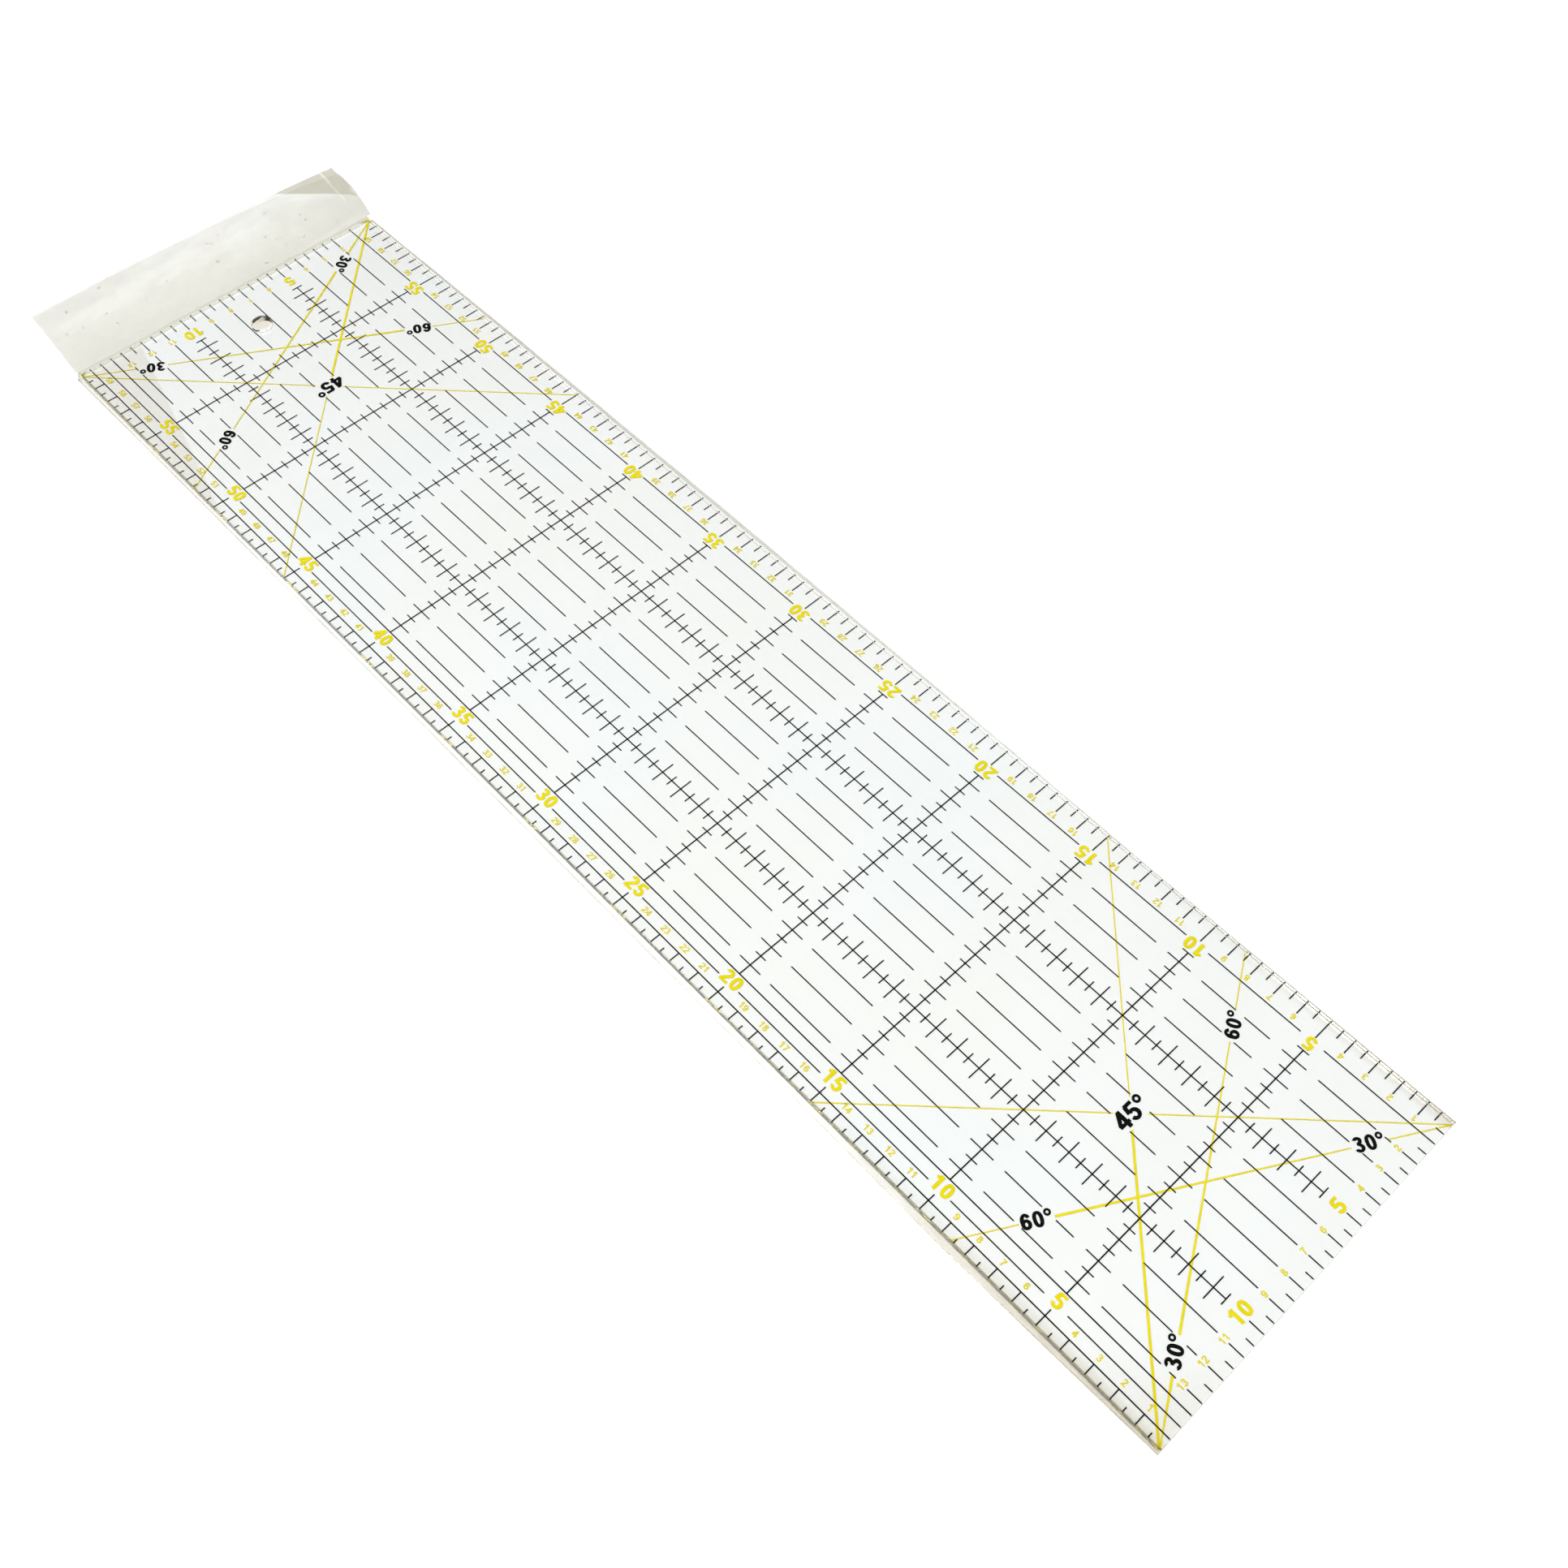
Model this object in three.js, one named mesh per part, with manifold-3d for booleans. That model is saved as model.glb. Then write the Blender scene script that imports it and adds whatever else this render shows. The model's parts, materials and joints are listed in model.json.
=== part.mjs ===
// A 60 cm quilting ruler lying in a sleeve of clear film.
// The frame: the origin is on the table under the ruler's middle, +X runs along the ruler to the sleeve's open
// mouth, +Y to its left long edge, +Z up. All sizes are in millimetres.

import * as THREE from "three";
import { mergeVertices } from "three/addons/utils/BufferGeometryUtils.js";
import Module from "manifold-3d";

const wasm = await Module();
wasm.setup();

// The acrylic blade
const BLADE_LENGTH = 600;
const BLADE_WIDTH = 150;
const BLADE_THICKNESS = 3;
const CORNER_RADIUS = 1;
const EDGE_BEVEL = 0.2;
const HANG_HOLE_RADIUS = 4.5;
const HANG_HOLE_FROM_END = 25;
const CURVE_STEPS = 8;

// The ink on the blade's underside: black first, then yellow over it
const INK_THICKNESS = 0.03;
const INK_MARGIN = 0.25;
const BLACK_LINE_WIDTH = 0.42;
const YELLOW_LINE_WIDTH = 0.4;

// The printed scale, in centimetres from the blade's near end and from its right edge
const LENGTH_CM = BLADE_LENGTH / 10;
const WIDTH_CM = BLADE_WIDTH / 10;
const LONG_TICK_CM = 5;
const LEFT_SCALE_LINE_CM = 14.5;
const LEFT_LONG_TICK_END_CM = 14.22;
const LEFT_GUIDE_CM = 14;
const RIGHT_GUIDE_CM = 1;
const BORDER_LINE_CM = 13.5;
const MEASURING_LINES_CM = [5, 10];
const MEASURING_LINE_INSET_CM = 1.5;
const CROSS_LINE_END_CM = 1.5;
const ANGLES_FROM_LENGTH = [45, 60];

// The film sleeve
const FILM = 0.08;
const BACK_GAP = 0.12;
const FRONT_GAP = 0.1;
const SIDE_GAP = 0.4;
const FOLD_GAP = 0.3;
const MOUTH_OVERHANG = 1.5;
const SEAL_OFFSET = 2.2;
const SEAL_WIDTH = 0.8;

// The lip at the mouth, which turns about a crease along Y
const LIP_LENGTH = 31;
const LIP_WIDTH = 156;
const LIP_TILT = THREE.MathUtils.degToRad(23);
const CREASE_OUT = 0.15;
const CREASE_UP = 0.12;

// Heights above the table
const BLADE_BOTTOM = FILM + BACK_GAP;
const BLADE_TOP = BLADE_BOTTOM + BLADE_THICKNESS;
const BLACK_BOTTOM = BLADE_BOTTOM - INK_THICKNESS;
const YELLOW_BOTTOM = BLACK_BOTTOM - INK_THICKNESS;
const FRONT_BOTTOM = BLADE_TOP + FRONT_GAP;
const FRONT_TOP = FRONT_BOTTOM + FILM;

// The sleeve's outline on the table
const FOLD_X = -BLADE_LENGTH / 2 - FOLD_GAP;
const MOUTH_X = BLADE_LENGTH / 2 + MOUTH_OVERHANG;
const SHOULDER_Y = BLADE_WIDTH / 2 + SIDE_GAP;
const SEAL_Y = BLADE_WIDTH / 2 + SEAL_OFFSET;

const acrylic = new THREE.MeshStandardMaterial({
  color: 0xf4f8f6,
  roughness: 0.06,
  metalness: 0,
  transparent: true,
  opacity: 0.25,
});
const blackInk = new THREE.MeshStandardMaterial({ color: 0x111111, roughness: 0.6, metalness: 0 });
const yellowInk = new THREE.MeshStandardMaterial({ color: 0xe6d71e, roughness: 0.6, metalness: 0 });
const clearFilm = new THREE.MeshStandardMaterial({
  color: 0xf2f0ea,
  roughness: 0.15,
  metalness: 0,
  transparent: true,
  opacity: 0.2,
});

// Along the blade from its near end, and across it from its right edge, both in centimetres
const along = (cm) => (cm - LENGTH_CM / 2) * 10;
const across = (cm) => (cm - WIDTH_CM / 2) * 10;

function named(name, geometry, material) {
  const mesh = new THREE.Mesh(geometry, material);
  mesh.name = name;
  return mesh;
}

// A box between two corners
function block([x0, y0, z0], [x1, y1, z1]) {
  const geometry = new THREE.BoxGeometry(x1 - x0, y1 - y0, z1 - z0);
  return geometry.translate((x0 + x1) / 2, (y0 + y1) / 2, (z0 + z1) / 2);
}

// An outline in the Y-Z plane, drawn out along X
function bar(outline, x0, x1) {
  const shape = new THREE.Shape(outline.map(([y, z]) => new THREE.Vector2(y, z)));
  const geometry = new THREE.ExtrudeGeometry(shape, { depth: x1 - x0, bevelEnabled: false });
  const turn = new THREE.Matrix4().makeBasis(
    new THREE.Vector3(0, 1, 0),
    new THREE.Vector3(0, 0, 1),
    new THREE.Vector3(1, 0, 0),
  );
  return geometry.applyMatrix4(turn).translate(x0, 0, 0);
}

function toSolid(geometry) {
  const bare = geometry.clone();
  bare.deleteAttribute("normal");
  bare.deleteAttribute("uv");
  const merged = mergeVertices(bare, 1e-4);
  return new wasm.Manifold(
    new wasm.Mesh({
      numProp: 3,
      vertProperties: merged.attributes.position.array,
      triVerts: new Uint32Array(merged.index.array),
    }),
  );
}

function toGeometry(solid) {
  const mesh = solid.getMesh();
  const geometry = new THREE.BufferGeometry();
  geometry.setAttribute("position", new THREE.BufferAttribute(mesh.vertProperties, 3));
  geometry.setIndex(new THREE.BufferAttribute(mesh.triVerts, 1));
  const flat = geometry.toNonIndexed();
  flat.computeVertexNormals();
  return flat;
}

const joined = (geometries) => geometries.map(toSolid).reduce((all, next) => all.add(next));

// A clear sheet with rounded corners, eased edges and the hang hole near its far end
function bladeGeometry() {
  const x = BLADE_LENGTH / 2;
  const y = BLADE_WIDTH / 2;
  const r = CORNER_RADIUS;
  const outline = new THREE.Shape();
  outline.moveTo(-x + r, -y);
  outline.lineTo(x - r, -y);
  outline.absarc(x - r, -y + r, r, -Math.PI / 2, 0);
  outline.lineTo(x, y - r);
  outline.absarc(x - r, y - r, r, 0, Math.PI / 2);
  outline.lineTo(-x + r, y);
  outline.absarc(-x + r, y - r, r, Math.PI / 2, Math.PI);
  outline.lineTo(-x, -y + r);
  outline.absarc(-x + r, -y + r, r, Math.PI, Math.PI * 1.5);
  const hole = new THREE.Path();
  hole.absarc(x - HANG_HOLE_FROM_END, 0, HANG_HOLE_RADIUS, 0, Math.PI * 2, true);
  outline.holes.push(hole);
  const geometry = new THREE.ExtrudeGeometry(outline, {
    depth: BLADE_THICKNESS - 2 * EDGE_BEVEL,
    bevelThickness: EDGE_BEVEL,
    bevelSize: EDGE_BEVEL,
    bevelOffset: -EDGE_BEVEL,
    bevelSegments: 1,
    curveSegments: CURVE_STEPS,
  });
  return geometry.translate(0, 0, BLADE_BOTTOM + EDGE_BEVEL);
}

// A black line of the print between two points in centimetres on the blade, as [x0, y0, x1, y1]
function blackLine([u0, v0], [u1, v1]) {
  const half = BLACK_LINE_WIDTH / 2;
  const [wide, high] = u0 === u1 ? [half, 0] : [0, half];
  return [along(u0) - wide, across(v0) - high, along(u1) + wide, across(v1) + high];
}

// Black lines that cross or meet, as one closed body whose faces are divided at every crossing
function inkGeometry(lines) {
  const breaks = (values) => [...new Set(values)].sort((a, b) => a - b);
  const xs = breaks(lines.flatMap(([x0, , x1]) => [x0, x1]));
  const ys = breaks(lines.flatMap(([, y0, , y1]) => [y0, y1]));
  const inked = (i, j) => {
    const x = (xs[i] + xs[i + 1]) / 2;
    const y = (ys[j] + ys[j + 1]) / 2;
    return lines.some(([x0, y0, x1, y1]) => x > x0 && x < x1 && y > y0 && y < y1);
  };
  const low = BLACK_BOTTOM;
  const high = BLADE_BOTTOM;
  const corners = [];
  const face = (a, b, c, d) => corners.push(...a, ...b, ...c, ...a, ...c, ...d);
  for (let i = 0; i < xs.length - 1; i++)
    for (let j = 0; j < ys.length - 1; j++) {
      if (!inked(i, j)) continue;
      const [x0, x1, y0, y1] = [xs[i], xs[i + 1], ys[j], ys[j + 1]];
      face([x0, y0, high], [x1, y0, high], [x1, y1, high], [x0, y1, high]);
      face([x0, y0, low], [x0, y1, low], [x1, y1, low], [x1, y0, low]);
      if (!inked(i - 1, j)) face([x0, y0, low], [x0, y0, high], [x0, y1, high], [x0, y1, low]);
      if (!inked(i + 1, j)) face([x1, y0, low], [x1, y1, low], [x1, y1, high], [x1, y0, high]);
      if (!inked(i, j - 1)) face([x0, y0, low], [x1, y0, low], [x1, y0, high], [x0, y0, high]);
      if (!inked(i, j + 1)) face([x0, y1, low], [x0, y1, high], [x1, y1, high], [x1, y1, low]);
    }
  const geometry = new THREE.BufferGeometry();
  geometry.setAttribute("position", new THREE.Float32BufferAttribute(corners, 3));
  geometry.computeVertexNormals();
  return geometry;
}

const END_MARGIN_CM = INK_MARGIN / 10;
const lengthLine = (v) => blackLine([END_MARGIN_CM, v], [LENGTH_CM - END_MARGIN_CM, v]);

// The border line, the two measuring lines, and a cross line every 5 cm
function gridGeometry() {
  const lines = [lengthLine(BORDER_LINE_CM)];
  for (const v of MEASURING_LINES_CM)
    lines.push(
      blackLine([MEASURING_LINE_INSET_CM, v], [LENGTH_CM - MEASURING_LINE_INSET_CM, v]),
    );
  for (let u = LONG_TICK_CM; u < LENGTH_CM; u += LONG_TICK_CM)
    lines.push(blackLine([u, CROSS_LINE_END_CM], [u, BORDER_LINE_CM]));
  return inkGeometry(lines);
}

// The left edge's scale: its line and a tick every centimetre, each fifth one longer
function leftScaleGeometry() {
  const lines = [lengthLine(LEFT_SCALE_LINE_CM)];
  for (let u = 1; u < LENGTH_CM; u++) {
    const end = u % LONG_TICK_CM === 0 ? LEFT_LONG_TICK_END_CM : LEFT_SCALE_LINE_CM;
    lines.push(blackLine([u, end], [u, WIDTH_CM - END_MARGIN_CM]));
  }
  return inkGeometry(lines);
}

// A yellow line from one long edge to the other, leaving a corner at the given angle to the ruler's length
function angleLine(side, angle) {
  const turn = THREE.MathUtils.degToRad(angle);
  const reach = BLADE_WIDTH / Math.tan(turn);
  const length = BLADE_WIDTH / Math.sin(turn);
  const geometry = new THREE.BoxGeometry(length, YELLOW_LINE_WIDTH, INK_THICKNESS);
  geometry.rotateZ(side * turn);
  return geometry.translate((reach - BLADE_LENGTH) / 2, 0, YELLOW_BOTTOM + INK_THICKNESS / 2);
}

// The four angle lines of one end, cut off at the blade's edges
function angleLinesGeometry(end) {
  const lines = ANGLES_FROM_LENGTH.flatMap((angle) => [angleLine(1, angle), angleLine(-1, angle)]);
  const x = BLADE_LENGTH / 2 - INK_MARGIN;
  const y = BLADE_WIDTH / 2 - INK_MARGIN;
  const printable = toSolid(block([-x, -y, 0], [x, y, BLADE_BOTTOM]));
  const geometry = toGeometry(joined(lines).intersect(printable));
  return end > 0 ? geometry.rotateZ(Math.PI) : geometry;
}

function ruler() {
  const group = new THREE.Group();
  group.add(
    named("acrylic_blade", bladeGeometry(), acrylic),
    named("black_grid_lines", gridGeometry(), blackInk),
    named("black_left_scale", leftScaleGeometry(), blackInk),
    named("black_left_guide_line", inkGeometry([lengthLine(LEFT_GUIDE_CM)]), blackInk),
    named("black_right_guide_line", inkGeometry([lengthLine(RIGHT_GUIDE_CM)]), blackInk),
    named("yellow_angle_lines_near", angleLinesGeometry(-1), yellowInk),
    named("yellow_angle_lines_far", angleLinesGeometry(1), yellowInk),
  );
  return group;
}

// A film that slopes from the front film's shoulder down to a side seal, at a constant thickness
function sideFilm(side) {
  const slope = Math.hypot(SEAL_Y - SHOULDER_Y, FRONT_TOP) / (SEAL_Y - SHOULDER_Y);
  const depth = FILM * slope;
  const outline = [
    [SHOULDER_Y, FRONT_TOP - depth],
    [SEAL_Y, FILM],
    [SEAL_Y, FILM + depth],
    [SHOULDER_Y, FRONT_TOP],
  ];
  const placed = side > 0 ? outline : outline.map(([y, z]) => [-y, z]).reverse();
  return bar(placed, FOLD_X, MOUTH_X);
}

function seal(side) {
  const [y0, y1] = side > 0 ? [SEAL_Y, SEAL_Y + SEAL_WIDTH] : [-SEAL_Y - SEAL_WIDTH, -SEAL_Y];
  return block([FOLD_X - FILM, y0, 0], [MOUTH_X, y1, 2 * FILM]);
}

function sleeve() {
  const group = new THREE.Group();
  const endWall = [
    [-SEAL_Y, 0],
    [SEAL_Y, 0],
    [SHOULDER_Y, FRONT_TOP],
    [-SHOULDER_Y, FRONT_TOP],
  ];
  group.add(
    named("back_film", block([FOLD_X, -SEAL_Y, 0], [MOUTH_X, SEAL_Y, FILM]), clearFilm),
    named(
      "front_film",
      block([FOLD_X, -SHOULDER_Y, FRONT_BOTTOM], [MOUTH_X, SHOULDER_Y, FRONT_TOP]),
      clearFilm,
    ),
    named("near_end_fold", bar(endWall, FOLD_X - FILM, FOLD_X), clearFilm),
    named("left_side_film", sideFilm(1), clearFilm),
    named("right_side_film", sideFilm(-1), clearFilm),
    named("left_seal", seal(1), clearFilm),
    named("right_seal", seal(-1), clearFilm),
  );
  return group;
}

// The crease is the group's own origin, and the lip leaves it at its resting tilt
function lip() {
  const crease = new THREE.Group();
  crease.position.set(MOUTH_X + CREASE_OUT, 0, FRONT_TOP + CREASE_UP);
  crease.rotation.y = -LIP_TILT;
  const sheet = block(
    [CREASE_OUT, -LIP_WIDTH / 2, -FILM / 2],
    [CREASE_OUT + LIP_LENGTH, LIP_WIDTH / 2, FILM / 2],
  );
  crease.add(named("mouth_lip", sheet, clearFilm));
  return crease;
}

const sleevedRuler = new THREE.Group();
sleevedRuler.add(ruler(), sleeve(), lip());

export default sleevedRuler;
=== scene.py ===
"""A clear 60 x 15 cm quilting ruler in its clear film sleeve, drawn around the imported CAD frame."""

import json
import math

import bmesh
import bpy
import numpy as np
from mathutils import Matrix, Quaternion, Vector, noise
from mathutils.geometry import delaunay_2d_cdt


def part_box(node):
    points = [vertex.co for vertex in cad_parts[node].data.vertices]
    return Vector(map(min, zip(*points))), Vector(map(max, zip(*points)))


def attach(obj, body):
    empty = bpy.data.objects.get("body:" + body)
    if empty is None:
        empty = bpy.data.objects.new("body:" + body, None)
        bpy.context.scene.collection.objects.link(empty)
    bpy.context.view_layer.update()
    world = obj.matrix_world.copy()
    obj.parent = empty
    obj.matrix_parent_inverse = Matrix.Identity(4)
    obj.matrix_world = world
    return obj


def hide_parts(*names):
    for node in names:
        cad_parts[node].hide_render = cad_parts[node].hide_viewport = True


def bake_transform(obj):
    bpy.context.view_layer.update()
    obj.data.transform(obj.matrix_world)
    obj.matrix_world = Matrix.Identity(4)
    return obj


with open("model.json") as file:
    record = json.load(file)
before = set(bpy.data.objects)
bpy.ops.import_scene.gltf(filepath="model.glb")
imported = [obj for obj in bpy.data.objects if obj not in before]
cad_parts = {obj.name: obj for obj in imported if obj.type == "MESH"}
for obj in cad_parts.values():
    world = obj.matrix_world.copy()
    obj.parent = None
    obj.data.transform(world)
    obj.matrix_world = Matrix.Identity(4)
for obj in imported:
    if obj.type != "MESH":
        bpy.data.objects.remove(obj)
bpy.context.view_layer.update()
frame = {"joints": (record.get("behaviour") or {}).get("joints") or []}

MM = 0.001
CM = 0.01

BLADE_LOW, BLADE_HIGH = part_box("acrylic_blade")
FRONT_LOW, FRONT_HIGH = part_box("front_film")
BACK_LOW, BACK_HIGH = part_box("back_film")
SEAL_LOW, SEAL_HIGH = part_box("left_seal")
LIP_LOW, LIP_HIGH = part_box("mouth_lip")
CREASE = Vector(next(j["pos_m"] for j in frame["joints"] if j["name"] == "lip_crease"))

CORNER_RADIUS = 1.0 * MM
EDGE_BEVEL = 0.15 * MM
HOLE_RADIUS = 4.5 * MM
HOLE_X = BLADE_HIGH.x - 25 * MM
FILM = 0.06 * MM

# The print, in centimetres along the blade from its near end and across it from its right edge
LENGTH = 60
WIDTH = 15
END_MARGIN = 0.02
BLACK_LINE = 0.046
TICK_LINE = 0.043
YELLOW_LINE = 0.040
YELLOW_HEAVY_LINE = 0.085
BLACK_INK_Z = (BLADE_LOW.z - 0.02 * MM, BLADE_LOW.z + 0.02 * MM)
YELLOW_INK_Z = (BLADE_LOW.z - 0.045 * MM, BLADE_LOW.z + 0.005 * MM)


# ---------------------------------------------------------------------------------------------------------
# Camera, light and floor


def make_camera():
    eye = Vector((-0.29624, 0.23951, 0.53525))
    aim = Vector((-0.05355, -0.00492, 0.0002))
    roll = math.radians(2.205)
    data = bpy.data.cameras.new("photo_camera")
    data.sensor_width = 36
    data.lens = 39.646
    data.clip_start = 0.01
    camera = bpy.data.objects.new("photo_camera", data)
    camera.location = eye
    camera.rotation_mode = "QUATERNION"
    camera.rotation_quaternion = (aim - eye).to_track_quat("-Z", "Y") @ Quaternion((0, 0, 1), roll)
    bpy.context.scene.collection.objects.link(camera)
    bpy.context.scene.camera = camera


def make_light():
    """Large soft lamps around a dim room, none of them mirrored by the ruler's face towards the camera."""
    world = bpy.data.worlds.new("studio_air")
    bpy.context.scene.world = world
    world.use_nodes = True
    tree = world.node_tree
    tree.nodes.clear()
    back = node(tree, "Background", {"Color": (1.0, 0.99, 0.97, 1), "Strength": 0.05})
    node(tree, "OutputWorld", {"Surface": back.outputs["Background"]})
    for name, place, size, watts in (
        ("top_light", (0.2, 0.45, 2.2), 1.2, 45.5),
        ("key_light", (-1.3, 1.0, 1.7), 1.6, 22.3),
        ("side_light", (0.7, 1.9, 1.6), 1.6, 15),
        ("right_light", (-1.7, -1.3, 1.7), 1.4, 16.5),
        ("far_light", (2.2, 1.0, 1.5), 1.2, 14),
    ):
        data = bpy.data.lights.new(name, "AREA")
        data.size = size
        data.energy = watts
        light = bpy.data.objects.new(name, data)
        light.location = place
        light.rotation_mode = "QUATERNION"
        light.rotation_quaternion = (-Vector(place)).to_track_quat("-Z", "Y")
        bpy.context.scene.collection.objects.link(light)
    bpy.context.scene.view_settings.view_transform = "Standard"
    bpy.context.scene.cycles.transparent_max_bounces = 24
    bpy.context.scene.cycles.caustics_refractive = False
    bpy.context.scene.cycles.caustics_reflective = False


def make_floor():
    """A wide white table, just below the sleeve."""
    mesh = bpy.data.meshes.new("table_top")
    half = 2.0
    z = -0.05 * MM
    corners = [(-half, -half, z), (half, -half, z), (half, half, z), (-half, half, z)]
    mesh.from_pydata(corners, [], [(0, 1, 2, 3)])
    floor = bpy.data.objects.new("table_top", mesh)
    bpy.context.scene.collection.objects.link(floor)
    floor.data.materials.append(floor_material())


# ---------------------------------------------------------------------------------------------------------
# Materials

# Strengths that change along the ruler, at centimetres from its near end: the painted shade on the film
# beside its folded long edges, the painted shade on the blade's eased edges and on the film pressed over
# its left edge, the painted shade on the film past the blade's right edge, and how hazy its sides are
RIM_SHADE = ((0, 1.3), (5, 0.9), (10, 0.45), (18, 0.08), (30, 0.15), (46, 0.08), (54, 0.3), (60, 0.4))
EDGE_SHADE = ((0, 0.9), (9, 0.9), (15, 0.7), (20, 0.3), (46, 0.25), (52, 0.6), (60, 0.8))
RIGHT_SHADE = ((0, 0.35), (10, 0.35), (13, 0.3), (20, 0.3), (36, 0.6), (50, 0.7), (60, 0.6))
SIDE_HAZE = ((0, 0.30), (10, 0.22), (14, 0.12), (20, 0.03), (44, 0.03), (52, 0.08), (60, 0.12))


def node(tree, kind, inputs=None, **settings):
    """A new shader node; an input is a value or the socket that feeds it."""
    made = tree.nodes.new("ShaderNode" + kind)
    for key, value in settings.items():
        setattr(made, key, value)
    for key, value in (inputs or {}).items():
        if isinstance(value, bpy.types.NodeSocket):
            tree.links.new(value, made.inputs[key])
        else:
            made.inputs[key].default_value = value
    return made


def new_material(name):
    """A material without nodes, and its node tree."""
    material = bpy.data.materials.new(name)
    material.use_nodes = True
    material.node_tree.nodes.clear()
    return material, material.node_tree


def cloud(tree, scale, detail=3.0, stretch=(1, 1, 1), low=0.35, high=0.65):
    """Smooth noise in the object's own space, stretched to run from 0 to 1."""
    place = node(tree, "TexCoord").outputs["Object"]
    placed = node(tree, "Mapping", {"Vector": place, "Scale": stretch}).outputs["Vector"]
    fog = node(tree, "TexNoise", {"Vector": placed, "Scale": scale, "Detail": detail})
    spread = node(tree, "MapRange", {"Value": fog.outputs["Fac"], "From Min": low, "From Max": high})
    return spread.outputs["Result"]


def maths(tree, operation, first, second=0.0):
    return node(tree, "Math", {0: first, 1: second}, operation=operation).outputs["Value"]


def to_range(tree, value, low, high):
    return node(tree, "MapRange", {"Value": value, "To Min": low, "To Max": high}).outputs["Result"]


def fade(tree, value, start, end):
    """0 before start, 1 after end, with a soft passage between them."""
    ends = {"Value": value, "From Min": start, "From Max": end}
    return node(tree, "MapRange", ends, interpolation_type="SMOOTHSTEP").outputs["Result"]


def run_along(tree, x, stops):
    """A value that changes along the sleeve: pairs of centimetres from the near end and the value there."""
    ends = {"Value": x, "From Min": BLADE_LOW.x, "From Max": BLADE_HIGH.x}
    share = node(tree, "MapRange", ends).outputs["Result"]
    ramp = node(tree, "ValToRGB", {"Fac": share})
    elements = ramp.color_ramp.elements
    while len(elements) < len(stops):
        elements.new(0.5)
    for element, (u, value) in zip(elements, stops):
        element.position = u / LENGTH
    for element, (u, value) in zip(elements, stops):
        element.color = (value, value, value, 1)
    return ramp.outputs["Color"]


def floor_material():
    material, tree = new_material("table_white")
    paint = node(
        tree,
        "BsdfPrincipled",
        {"Base Color": (0.93, 0.93, 0.93, 1), "Roughness": 0.7, "Specular IOR Level": 0.1},
    )
    node(tree, "OutputMaterial", {"Surface": paint.outputs["BSDF"]})
    return material


def mix_colours(tree, share, first, second):
    """A blend of two colours; each is a colour or the socket of one, and so is the result."""
    blend = node(tree, "Mix", data_type="RGBA")
    for name, value in (("Factor", share), ("A", first), ("B", second)):
        socket = next(i for i in blend.inputs if i.name == name and i.enabled)
        if isinstance(value, bpy.types.NodeSocket):
            tree.links.new(value, socket)
        else:
            socket.default_value = value
    return next(o for o in blend.outputs if o.enabled)


def acrylic_material():
    """Clear cast acrylic with polished faces, faint scuffs, finely milled edges, and painted shade on the
    eased left and far edges.
    """
    clear_tone, edge_shade_tone = (0.995, 0.999, 0.999, 1), (0.10, 0.095, 0.04, 1)
    material, tree = new_material("clear_acrylic")
    scuffs = cloud(tree, 9.0, 6.0, (1, 3, 1), 0.5, 0.75)
    milled = cloud(tree, 900.0, 2.0, (1, 1, 0.02))
    facing = node(tree, "SeparateXYZ", {"Vector": node(tree, "NewGeometry").outputs["Normal"]})
    edge = fade(tree, maths(tree, "ABSOLUTE", facing.outputs["Z"]), 0.5, 0.1)
    ridges = maths(tree, "MULTIPLY", milled, edge)
    bump = node(tree, "Bump", {"Height": ridges, "Strength": 0.25, "Distance": 0.05 * MM})
    place = node(tree, "SeparateXYZ", {"Vector": node(tree, "TexCoord").outputs["Object"]})
    # Painted shade, dark olive, on the eased edges of the left side and the far end, whose normals lean
    # away from both face and wall
    side = maths(tree, "MAXIMUM", facing.outputs["X"], facing.outputs["Y"])
    eased = maths(tree, "MULTIPLY", fade(tree, side, 0.1, 0.25), fade(tree, side, 0.995, 0.98))
    dull_shade = maths(tree, "MULTIPLY", eased, run_along(tree, place.outputs["X"], EDGE_SHADE))
    streaks = to_range(tree, cloud(tree, 160.0, 3.0, (1, 0.05, 0.05), 0.3, 0.7), 0.5, 1.1)
    tone = mix_colours(tree, maths(tree, "MULTIPLY", dull_shade, streaks), clear_tone, edge_shade_tone)
    glass = node(
        tree,
        "BsdfPrincipled",
        {
            "Base Color": tone,
            "Roughness": to_range(tree, scuffs, 0.0, 0.012),
            "IOR": 1.49,
            "Transmission Weight": 1.0,
            "Normal": bump.outputs["Normal"],
        },
    )
    # Lamplight goes straight through
    lamp_ray = node(tree, "LightPath").outputs["Is Shadow Ray"]
    clear = node(tree, "BsdfTransparent", {"Color": (0.99, 0.997, 0.997, 1)})
    both = node(tree, "MixShader", {"Fac": lamp_ray, 1: glass.outputs["BSDF"], 2: clear.outputs["BSDF"]})
    node(tree, "OutputMaterial", {"Surface": both.outputs["Shader"]})
    return material


def ink_material(name, colour, light, dark):
    """Screen-printed ink: matt, with the slight unevenness of a printed film."""
    material, tree = new_material(name)
    mottle = cloud(tree, 260.0, 3.0)
    tone = mix_colours(tree, mottle, [c * dark for c in colour] + [1], [c * light for c in colour] + [1])
    grain = cloud(tree, 4000.0, 2.0)
    bump = node(tree, "Bump", {"Height": grain, "Strength": 0.15, "Distance": 0.01 * MM})
    paint = node(
        tree,
        "BsdfPrincipled",
        {"Base Color": tone, "Roughness": 0.5, "Specular IOR Level": 0.0, "Normal": bump.outputs["Normal"]},
    )
    node(tree, "OutputMaterial", {"Surface": paint.outputs["BSDF"]})
    return material


def film_place(tree):
    """Where a point of the film is: its X, its Y and its distance from the middle line."""
    place = node(tree, "SeparateXYZ", {"Vector": node(tree, "TexCoord").outputs["Object"]})
    x, y = place.outputs["X"], place.outputs["Y"]
    return x, y, maths(tree, "ABSOLUTE", y)


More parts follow.
